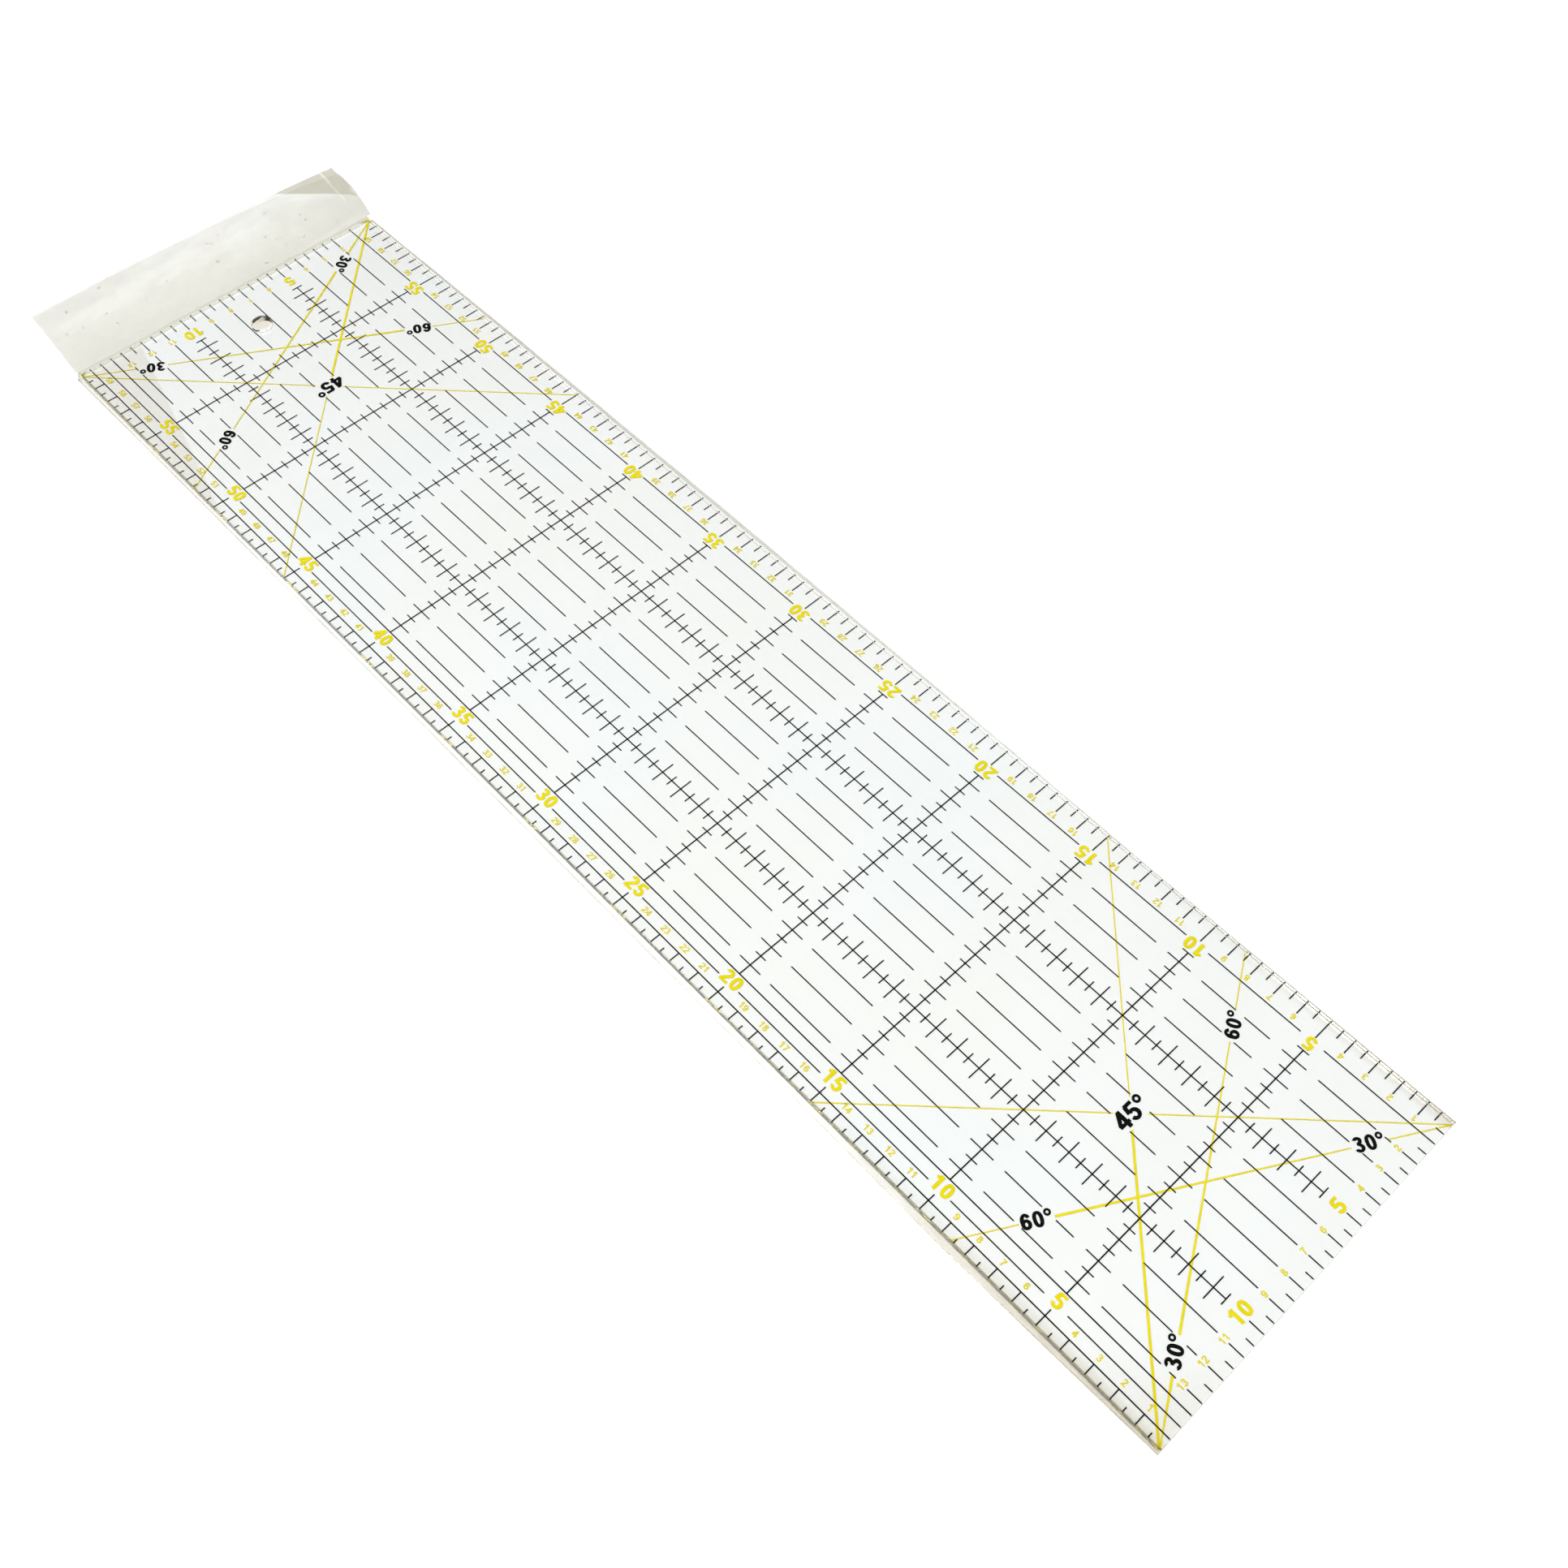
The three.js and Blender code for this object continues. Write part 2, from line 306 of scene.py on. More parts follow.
def pocket_wear(tree, tone, share):
    """Painted shade on the edges, corners, hole and far end, a painted reflection at the far left, and hazy
    sides.
    """
    # Colours of painted shade: grey for the edges, corners, hole and far-left reflection, then the far end,
    # past the blade, and the line over the left edge
    grey, far_end_shade = (0.870, 0.845, 0.80, 1), (0.84, 0.835, 0.785, 1)
    dull_shade, line = (0.76, 0.75, 0.715, 1), (0.66, 0.64, 0.50, 1)
    deepest = 1.3
    side, far_end = 75.0 * MM, 300.0 * MM
    x, y, out = film_place(tree)
    # Painted shade by the folded long edges
    rim = maths(tree, "MULTIPLY", fade(tree, out, side - 5.5 * MM, side), run_along(tree, x, RIM_SHADE))
    # A painted reflection makes the corner over the far end's left greyer beyond a slanting line
    slant = maths(tree, "ADD", y, maths(tree, "MULTIPLY", x, 0.270))
    reflected_patch = maths(tree, "MULTIPLY", fade(tree, slant, 126.2 * MM, 127.6 * MM), 0.6)
    # The near end's left corner has a soft patch of painted shade
    corner = maths(tree, "SUBTRACT", y, x)
    corner_shade = maths(tree, "MULTIPLY", fade(tree, corner, 330 * MM, 375 * MM), 0.6)
    darkest = maths(tree, "MAXIMUM", maths(tree, "MAXIMUM", rim, reflected_patch), corner_shade)
    shade_and_reflection = maths(tree, "MINIMUM", darkest, deepest)
    # Painted shade darkens it over the hang hole
    hole = node(tree, "CombineXYZ", {"X": HOLE_X, "Y": 0.0, "Z": 0.0}).outputs["Vector"]
    flat = node(tree, "CombineXYZ", {"X": x, "Y": y, "Z": 0.0}).outputs["Vector"]
    far = node(tree, "VectorMath", {0: flat, 1: hole}, operation="DISTANCE").outputs["Value"]
    hole_shade = maths(tree, "MULTIPLY", fade(tree, far, 4.6 * MM, 4.2 * MM), deepest)
    shade_and_reflection = maths(tree, "MAXIMUM", shade_and_reflection, hole_shade)
    tone = mix_colours(tree, maths(tree, "MULTIPLY", shade_and_reflection, 0.70), tone, grey)
    # Painted shade over the blade's far end
    tone = mix_colours(tree, fade(tree, x, far_end - 3.5 * MM, far_end - 0.1 * MM), tone, far_end_shade)
    # Past the blade, down its right side and at the mouth, painted shade makes it dull against the bright
    # table
    right = fade(tree, y, -side, -side - 0.3 * MM)
    right = maths(tree, "MULTIPLY", right, run_along(tree, x, RIGHT_SHADE))
    past = maths(tree, "MAXIMUM", right, fade(tree, x, far_end - 0.1 * MM, far_end + 0.2 * MM))
    tone = mix_colours(tree, past, tone, dull_shade)
    # Where it is pressed over the blade's left edge, a fine dark line of painted shade
    inner = fade(tree, y, side - 0.6 * MM, side - 0.3 * MM)
    edge_line_shade = maths(tree, "MULTIPLY", inner, fade(tree, y, side + 0.25 * MM, side))
    edge_line_shade = maths(tree, "MULTIPLY", edge_line_shade, run_along(tree, x, EDGE_SHADE))
    tone = mix_colours(tree, edge_line_shade, tone, line)
    down_side = fade(tree, out, side, side + 0.4 * MM)
    down_end = fade(tree, maths(tree, "MULTIPLY", x, -1.0), far_end + 0.02 * MM, far_end + 0.08 * MM)
    skirt = maths(tree, "MAXIMUM", down_side, down_end)
    skirt = maths(tree, "MULTIPLY", skirt, run_along(tree, x, SIDE_HAZE))
    flecks = to_range(tree, cloud(tree, 420.0, 3.0, (0.3, 1, 1), 0.3, 0.7), 0.8, 1.15)
    return tone, maths(tree, "ADD", share, maths(tree, "MULTIPLY", skirt, flecks))


def lip_wear(tree, tone, share):
    """Faint drawn lines, painted shade by the crease, specks, an olive outer right corner and painted pleat
    highlights.
    """
    drawn_tone, crease_shade_tone = (0.83, 0.83, 0.815, 1), (0.835, 0.832, 0.815, 1)
    speck_tone, olive, pleat_highlight_tone = (0.66, 0.64, 0.56, 1), (0.735, 0.73, 0.675, 1), (0.97, 0.97, 0.96, 1)
    # The corner's slanting edge runs between these places along and across
    outer, inner = (308.5 * MM, -46 * MM), (329 * MM, -78 * MM)
    x, y, _ = film_place(tree)
    drawn = to_range(tree, cloud(tree, 110.0, 5.0, (1, 0.3, 1), 0.38, 0.62), 0.0, 0.75)
    tone = mix_colours(tree, drawn, tone, drawn_tone)
    # Painted shade darkens it towards the crease
    tone = mix_colours(tree, fade(tree, x, 320 * MM, 303 * MM), tone, crease_shade_tone)
    specks = fade(tree, cloud(tree, 420.0, 2.0, (1, 0.7, 1), 0.0, 1.0), 0.70, 0.73)
    tone = mix_colours(tree, maths(tree, "MULTIPLY", specks, 0.5), tone, speck_tone)
    slopes = []
    for value, start, end in zip((x, y), outer, inner):
        slope = node(tree, "MapRange", {"Value": value, "From Min": start, "From Max": end}, clamp=False)
        slopes.append(slope.outputs["Result"])
    corner = maths(tree, "ADD", *slopes)
    tone = mix_colours(tree, fade(tree, corner, 0.98, 1.05), tone, olive)
    # Painted highlights on the pleats by the right edge
    pleat_highlights = fade(tree, cloud(tree, 420.0, 2.0, (0.12, 1, 0.12), 0.3, 0.7), 0.62, 0.80)
    pleat_highlights = maths(tree, "MULTIPLY", pleat_highlights, fade(tree, y, -69 * MM, -73 * MM))
    return mix_colours(tree, pleat_highlights, tone, pleat_highlight_tone), share


def film_material(name, tints, haze, gloss, crinkle, marks_and_shade=None):
    """Thin clear film: see-through with soft clouds of three tints, shiny at grazing angles and milky where
    hazy. Haze holds its least share, its greatest share and its colour; gloss is the shine seen face on."""
    least, most, milk_colour = haze
    material, tree = new_material(name)
    clouds = cloud(tree, 14.0, 5.0, (1, 1, 1), 0.38, 0.62)
    warmth = to_range(tree, cloud(tree, 9.0, 2.0, (1.7, 1, 1), 0.40, 0.60), 0.0, 0.7)
    fresh = mix_colours(tree, clouds, tints[0], tints[1])
    tone = mix_colours(tree, warmth, fresh, tints[2])
    share = to_range(tree, cloud(tree, 38.0, 4.0), least, most)
    if marks_and_shade:
        tone, share = marks_and_shade(tree, tone, share)
    creases = cloud(tree, 120.0, 5.0, (1, 1, 1), 0.3, 0.7)
    bump = node(tree, "Bump", {"Height": creases, "Strength": crinkle, "Distance": 0.2 * MM})
    clear = node(tree, "BsdfTransparent", {"Color": tone})
    milk = node(tree, "BsdfDiffuse", {"Color": milk_colour, "Normal": bump.outputs["Normal"]})
    glow = node(tree, "BsdfTranslucent", {"Color": milk_colour, "Normal": bump.outputs["Normal"]})
    both = node(tree, "MixShader", {"Fac": 0.5, 1: milk.outputs["BSDF"], 2: glow.outputs["BSDF"]})
    body = node(tree, "MixShader", {"Fac": share, 1: clear.outputs["BSDF"], 2: both.outputs["Shader"]})
    shine = node(tree, "BsdfGlossy", {"Roughness": 0.06, "Normal": bump.outputs["Normal"]})
    grazing = node(tree, "LayerWeight", {"Blend": 0.5, "Normal": bump.outputs["Normal"]}).outputs["Facing"]
    mirror = to_range(tree, maths(tree, "POWER", grazing, 5.0), gloss, 1.0)
    film = node(tree, "MixShader", {"Fac": mirror, 1: body.outputs["Shader"], 2: shine.outputs["BSDF"]})
    # Lamplight goes straight through
    lamp_ray = node(tree, "LightPath").outputs["Is Shadow Ray"]
    lit = node(tree, "BsdfTransparent", {"Color": (0.99, 0.99, 0.985, 1)})
    final = node(tree, "MixShader", {"Fac": lamp_ray, 1: film.outputs["Shader"], 2: lit.outputs["BSDF"]})
    node(tree, "OutputMaterial", {"Surface": final.outputs["Shader"]})
    return material


# ---------------------------------------------------------------------------------------------------------
# Flat figures of ink: polygons are joined in the plane, then given their thickness


def wound(polygon):
    """The polygon with its corners in counter-clockwise order."""
    area = sum(a[0] * b[1] - b[0] * a[1] for a, b in zip(polygon, polygon[1:] + polygon[:1]))
    return polygon if area > 0 else polygon[::-1]


def union(polygons):
    """The polygons' union as a figure: its points and its triangles."""
    points, faces = [], []
    for polygon in polygons:
        faces.append(list(range(len(points), len(points) + len(polygon))))
        points.extend(Vector(p) for p in wound(polygon))
    made, _, pieces, _, _, owners = delaunay_2d_cdt(points, [], faces, 1, 1e-6)
    kept = [piece for piece, owner in zip(pieces, owners) if owner]
    return [tuple(p) for p in made], kept


def placed(figure, turn=0.0, scale=1.0, shift=(0.0, 0.0)):
    """The same figure turned, then scaled, then moved."""
    points, faces = figure
    c, s = math.cos(turn) * scale, math.sin(turn) * scale
    return [(c * x - s * y + shift[0], s * x + c * y + shift[1]) for x, y in points], faces


def merged(figures):
    """Several figures as one, without joining what overlaps."""
    points, faces = [], []
    for more_points, more_faces in figures:
        faces.extend([i + len(points) for i in face] for face in more_faces)
        points.extend(more_points)
    return points, faces


def turned_end(figure):
    """The same figure at the other end of the ruler, turned half round about its middle."""
    return placed(figure, math.pi, 1.0, (LENGTH, WIDTH))


def add_piece(name, mesh, material, body, nodes=()):
    """A piece that rides on a body, if one is given, and replaces CAD nodes."""
    piece = bpy.data.objects.new(name, mesh)
    bpy.context.scene.collection.objects.link(piece)
    piece.data.materials.append(material)
    if body:
        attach(piece, body)
    if nodes:
        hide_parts(*nodes)
    return piece


def add_ink(name, figure, heights, material, nodes=()):
    """A figure in centimetres on the blade, as a thin solid between two heights."""
    flat, faces = figure
    low, high = heights
    count = len(flat)
    where = [(BLADE_LOW.x + u * CM, BLADE_LOW.y + v * CM) for u, v in flat]
    points = [(x, y, low) for x, y in where] + [(x, y, high) for x, y in where]
    tops = [[i + count for i in face] for face in faces]
    bottoms = [list(face)[::-1] for face in faces]
    sides = {(a, b) for face in faces for a, b in zip(face, list(face[1:]) + [face[0]])}
    walls = [(a, b, b + count, a + count) for a, b in sorted(sides) if (b, a) not in sides]
    mesh = bpy.data.meshes.new(name)
    mesh.from_pydata(points, [], tops + bottoms + walls)
    mesh.validate()
    return add_piece(name, mesh, material, "ruler", nodes)


def stroke(start, end, width, end_width=None):
    """A straight line's outline, with square ends; its width may change on the way."""
    (x0, y0), (x1, y1) = start, end
    length = math.hypot(x1 - x0, y1 - y0)
    nx, ny = (y0 - y1) / length / 2, (x1 - x0) / length / 2
    w0, w1 = width, end_width or width
    return [
        (x0 + nx * w0, y0 + ny * w0),
        (x0 - nx * w0, y0 - ny * w0),
        (x1 - nx * w1, y1 - ny * w1),
        (x1 + nx * w1, y1 + ny * w1),
    ]


def along(v, u0, u1, width=BLACK_LINE):
    """A line along the ruler, in the row at v centimetres from its right edge."""
    return stroke((u0, v), (u1, v), width)


def across(u, v0, v1, width=TICK_LINE):
    """A line across the ruler, at u centimetres from its near end."""
    return stroke((u, v0), (u, v1), width)


# ---------------------------------------------------------------------------------------------------------
# Numerals: strokes drawn with an oval nib, in units of the numeral's height

ADVANCE = 0.777
ARC_STEP = 12
REGULAR_NIB = (0.092, 0.078)
BOLD_NIB = (0.118, 0.094)
RING_NIB = (0.070, 0.070)


def arc(cx, cy, rx, ry, start, end, squareness=2.0):
    steps = max(3, round(abs(end - start) / ARC_STEP))
    points = []
    for k in range(steps + 1):
        angle = math.radians(start + (end - start) * k / steps)
        c, s = math.cos(angle), math.sin(angle)
        x = math.copysign(abs(c) ** (2 / squareness), c)
        y = math.copysign(abs(s) ** (2 / squareness), s)
        points.append((cx + rx * x, cy + ry * y))
    return points


def numeral_strokes(sign, a, b):
    """The centre lines of one sign, for a nib of half width a and half height b."""
    middle, top, bottom = 0.388, 1 - b, b
    if sign == "0":
        return [arc(middle, 0.5, 0.328 - a, 0.5 - b, 0, 360, 2.3)]
    if sign == "1":
        return [[(0.455, 0), (0.455, 1)], [(0.13, 0.735), (0.25, 0.785), (0.36, 0.87), (0.43, 0.98)]]
    if sign == "2":
        bowl = arc(0.378, 0.71, 0.325 - a, 0.29 - b, 170, -36)
        return [bowl + [(0.27, 0.26), (0.06 + a, bottom + 0.03)], [(0.045, bottom), (0.71, bottom)]]
    if sign == "3":
        upper = arc(middle - 0.015, 0.745, 0.298 - a, 0.255 - b, 163, -85)
        lower = arc(middle - 0.005, 0.288, 0.332 - a, 0.288 - b, 85, -165)
        return [upper, lower, [(0.28, 0.535), (0.42, 0.535)]]
    if sign == "4":
        return [[(0.535, 0), (0.535, 1)], [(0.03, 0.285), (0.74, 0.285)], [(0.52, 0.93), (0.09, 0.31)]]
    if sign == "5":
        bowl = arc(0.378, 0.325, 0.345 - a, 0.33 - b, 138, -165)
        return [[(0.165, top), (0.68, top)], [(0.225, top), (0.155, 0.49)], bowl]
    if sign == "6":
        bowl = arc(0.4, 0.325, 0.325 - a, 0.325 - b, 0, 360)
        return [bowl, arc(0.415, 0.5, 0.35 - a, 0.5 - b, 205, 33)]
    if sign == "7":
        leg = [(0.665, top - 0.02), (0.54, 0.75), (0.42, 0.52), (0.335, 0.26), (0.3, 0)]
        return [[(0.06, top), (0.72, top)], leg]
    if sign == "8":
        upper = arc(middle, 0.745, 0.295 - a, 0.255 - b, 0, 360)
        return [upper, arc(middle, 0.288, 0.335 - a, 0.288 - b, 0, 360)]
    if sign == "9":
        return [[(2 * middle - x, 1 - y) for x, y in line] for line in numeral_strokes("6", a, b)]
    return [arc(0.252, 0.798, 0.162, 0.162, 0, 360)]


def ribbon(line, a, b):
    """The quads that an oval nib of half width a and half height b covers along a line."""
    closed = math.dist(line[0], line[-1]) < 1e-6
    edges = []
    for k, (x, y) in enumerate(line):
        before = line[k - 1] if k else (line[-2] if closed else line[0])
        after = line[k + 1] if k + 1 < len(line) else (line[1] if closed else line[-1])
        tx, ty = after[0] - before[0], after[1] - before[1]
        size = math.hypot(a * ty, b * tx)
        nx, ny = -a * a * ty / size, b * b * tx / size
        edges.append(((x + nx, y + ny), (x - nx, y - ny)))
    if closed:
        edges[-1] = edges[0]
    return [[p, q, s, r] for (p, q), (r, s) in zip(edges, edges[1:])]


def draw_sign(sign, nib):
    a, b = RING_NIB if sign == "°" else nib
    return union([quad for line in numeral_strokes(sign, a, b) for quad in ribbon(line, a, b)])


SIGNS = {
    (sign, weight): draw_sign(sign, nib)
    for weight, nib in (("regular", REGULAR_NIB), ("bold", BOLD_NIB))
    for sign in "0123456789°"
}


def text(words, centre, height, weight, turn=0.0, lead=None):
    """Signs side by side, centred on a point, or with the first sign's middle there if lead is true."""
    start = -ADVANCE / 2 if lead else -ADVANCE * len(words) / 2
    signs = []
    for k, sign in enumerate(words):
        points, faces = SIGNS[sign, weight]
        moved = [(x + start + k * ADVANCE, y - 0.5) for x, y in points]
        signs.append((moved, faces))
    return placed(merged(signs), turn, height, centre)


# ---------------------------------------------------------------------------------------------------------
# The print itself

FIVES = range(5, LENGTH, 5)
MEASURING_ROWS = (5, 10)
LEFT_GUIDE_ROW = 14
RIGHT_GUIDE_ROW = 1
GRID_MARGIN = 1.5
BORDER_ROW = WIDTH - GRID_MARGIN
SCALE_ROW = 14.5
DASH_ROWS = (2, 3, 4, 6, 7, 8, 9, 11, 12, 13)
DASH = (1.03, 3.99)
GAP_AT_NUMERAL = 0.49
WHOLE_TICK = 0.51
HALF_TICK = 0.245
# Where the edge ticks end, at every fifth centimetre, every other centimetre and every half centimetre
LEFT_TICK_FEET = (14.22, SCALE_ROW, 14.74)
RIGHT_TICK_HEADS = (0.83, 0.57, 0.32)
END_TICK_REACHES = (0.59, 0.59, 0.327)


def by_rank(half_cm, at_five, at_whole, at_half):
    """One of three values, for the mark at this many half centimetres."""
    if half_cm % 10 == 0:
        return at_five
    return at_whole if half_cm % 2 == 0 else at_half


def grid_lines():
    """The border line, the two measuring lines and the cross lines, with the ticks on them."""
    shapes = [along(BORDER_ROW, END_MARGIN, LENGTH - END_MARGIN)]
    first, last = round(2 * GRID_MARGIN), round(2 * (LENGTH - GRID_MARGIN))
    for v in MEASURING_ROWS:
        shapes.append(along(v, GRID_MARGIN, LENGTH - GRID_MARGIN))
        for half_cm in range(first, last + 1):
            u = half_cm / 2
            reach = by_rank(half_cm, 0, WHOLE_TICK, HALF_TICK)
            if reach:
                shapes.append(across(u, v - reach, v + reach))
    for u in FIVES:
        shapes.append(across(u, GRID_MARGIN, BORDER_ROW, BLACK_LINE))
        for half_cm in range(first, round(2 * BORDER_ROW)):
            v = half_cm / 2
            reach = by_rank(half_cm, 0, WHOLE_TICK, HALF_TICK)
            if reach:
                shapes.append(along(v, u - reach, u + reach, TICK_LINE))
    return union(shapes)


def left_scale():
    """The line and the ticks beside the left edge."""
    shapes = [along(SCALE_ROW, END_MARGIN, LENGTH - END_MARGIN)]
    for half_cm in range(1, 2 * LENGTH):
        shapes.append(across(half_cm / 2, by_rank(half_cm, *LEFT_TICK_FEET), WIDTH - END_MARGIN))
    return union(shapes)


def right_scale():
    """The ticks from the right edge."""
    ticks = []
    for half_cm in range(1, 2 * LENGTH):
        ticks.append(across(half_cm / 2, END_MARGIN, by_rank(half_cm, *RIGHT_TICK_HEADS)))
    return union(ticks)


def guide_line(v):
    """A line along the ruler that stops on either side of the large numerals."""
    stops = [END_MARGIN] + [u + side * GAP_AT_NUMERAL for u in FIVES for side in (-1, 1)]
    stops.append(LENGTH - END_MARGIN)
    return union([along(v, u0, u1, TICK_LINE) for u0, u1 in zip(stops[::2], stops[1::2])])


def end_scale():
    """The ticks along the near short edge; the one at 1 cm is left to the guide line."""
    ticks = []
    for half_cm in range(1, round(2 * BORDER_ROW)):
        if half_cm != 2:
            ticks.append(along(half_cm / 2, END_MARGIN, by_rank(half_cm, *END_TICK_REACHES), TICK_LINE))
    return union(ticks)


# The labels on the near end's angle lines: the text, its first sign's middle, its direction in degrees
# and its height
ANGLE_LABELS = (
    ("45°", (7.52, 7.91), -90, 0.667),
    ("30°", (1.37, 12.72), -60, 0.54),
    ("60°", (7.024, 2.80), -60, 0.53),
    ("30°", (1.704, 2.849), -120, 0.54),
    ("60°", (7.40, 12.75), -120, 0.54),
)
# Where the dashes of a row stop before such a label and start again after it
DASH_GAPS = {
    13: ((1.283, 1.617), (7.35, 7.68)),
    12: ((1.427, 1.983), (6.78, 7.38)),
    8: ((7.112, 7.957),),
    7: ((7.112, 7.957),),
    3: ((1.44, 1.978), (6.78, 7.307)),
    2: ((1.282, 1.633), (7.118, 7.484)),
}


def dashes():
    """The dashed rows; the far end's gaps are the near end's, turned half round."""
    shapes = []
    for v in DASH_ROWS:
        near = list(DASH_GAPS.get(v, ()))
        far = [(LENGTH - b, LENGTH - a) for a, b in DASH_GAPS.get(WIDTH - v, ())]
        for left in range(0, LENGTH, 5):
            start, end = left + DASH[0], left + DASH[1]
            for a, b in sorted(near + far):
                if start < a and b < end:
                    shapes.append(along(v, start, a, TICK_LINE))
                    start = b
            shapes.append(along(v, start, end, TICK_LINE))
    return union(shapes)


def angle_labels():
    labels = []
    for words, at, way, size in ANGLE_LABELS:
        labels.append(text(words, at, size, "bold", math.radians(way), lead=True))
    near = merged(labels)
    return merged([near, turned_end(near)])


REACH_30 = WIDTH * math.tan(math.radians(30))


def angle_lines():
    """The near end's four angle lines, each broken at its labels: (start, end, runs of share and width)."""
    thin, heavy = YELLOW_LINE, YELLOW_HEAVY_LINE
    from_right, from_left = (0, 0), (0, WIDTH)
    lines = (
        (from_right, (WIDTH, WIDTH), ((0, 0.4727, thin, thin), (0.528, 1, thin, thin))),
        (from_left, (WIDTH, 0), ((0, 0.4727, heavy, heavy), (0.528, 1, thin, thin))),
        (
            from_right,
            (REACH_30, WIDTH),
            ((0, 0.134, thin, thin), (0.208, 0.795, thin, heavy), (0.865, 1, thin, thin)),
        ),
        (
            from_left,
            (REACH_30, 0),
            ((0, 0.135, thin, heavy), (0.206, 0.795, heavy, thin), (0.867, 1, thin, thin)),
        ),
    )
    inset = 0.003
    shapes = []
    for (u0, v0), (u1, v1), runs in lines:
        for a, b, w0, w1 in runs:
            a, b = max(a, inset), min(b, 1 - inset)
            start = (u0 + (u1 - u0) * a, v0 + (v1 - v0) * a)
            end = (u0 + (u1 - u0) * b, v0 + (v1 - v0) * b)
            shapes.append(stroke(start, end, w0, w1))
    return union(shapes)


# The yellow numerals: height, weight, rows by the right and left edges, and distance from the short edges
SMALL = (0.245, "regular", 0.75, 14.23, 0.773)
LARGE = (0.555, "bold", 1.13, 13.845, 0.925)


def numerals(size):
    """All yellow numerals of one size: large at every fifth centimetre, small at the others."""
    height, weight, right_row, left_row, inset = size
    places = []
    for n in range(1, LENGTH):
        places += [(n, (n, right_row), 0.0), (n, (n, left_row), math.pi)]
    rows = range(2, WIDTH - 1)
    places += [(n, (inset, n), -math.pi / 2) for n in rows]
    # The far end's numerals count from the same long edge, and are turned to be read from outside
    places += [(n, (LENGTH - inset, n), math.pi / 2) for n in rows]
    chosen = [place for place in places if (place[0] % 5 == 0) == (size == LARGE)]
    return merged([text(str(n), at, height, weight, turn) for n, at, turn in chosen])


def make_print():
    """The black ink, and just below it the yellow, both on the blade's underside."""
    black = ink_material("black_ink", (0.004, 0.004, 0.004), 1.3, 0.7)
    yellow = ink_material("yellow_ink", (0.78, 0.66, 0.004), 1.04, 0.94)
    near_ticks = end_scale()
    for name, figure, nodes in (
        ("grid_lines", grid_lines(), ["black_grid_lines"]),
        ("left_edge_scale", left_scale(), ["black_left_scale"]),
        ("left_guide_line", guide_line(LEFT_GUIDE_ROW), ["black_left_guide_line"]),
        ("right_guide_line", guide_line(RIGHT_GUIDE_ROW), ["black_right_guide_line"]),
        ("right_edge_scale", right_scale(), []),
        ("near_end_scale", near_ticks, []),
        ("far_end_scale", turned_end(near_ticks), []),
        ("row_dashes", dashes(), []),
        ("angle_labels", angle_labels(), []),
    ):
        add_ink(name, figure, BLACK_INK_Z, black, nodes)
    near_lines = angle_lines()
    for name, figure, nodes in (
        ("near_angle_lines", near_lines, ["yellow_angle_lines_near"]),
        ("far_angle_lines", turned_end(near_lines), ["yellow_angle_lines_far"]),
        ("small_numerals", numerals(SMALL), []),
        ("large_numerals", numerals(LARGE), []),
    ):
        add_ink(name, figure, YELLOW_INK_Z, yellow, nodes)


# ---------------------------------------------------------------------------------------------------------
# The acrylic blade


def smooth_by_angle(mesh, degrees):
    """Smooth shading, except over edges sharper than this."""
    shape = bmesh.new()
    shape.from_mesh(mesh)
    for face in shape.faces:
        face.smooth = True
    for edge in shape.edges:
        edge.smooth = edge.calc_face_angle(0.0) < math.radians(degrees)
    shape.to_mesh(mesh)
    shape.free()


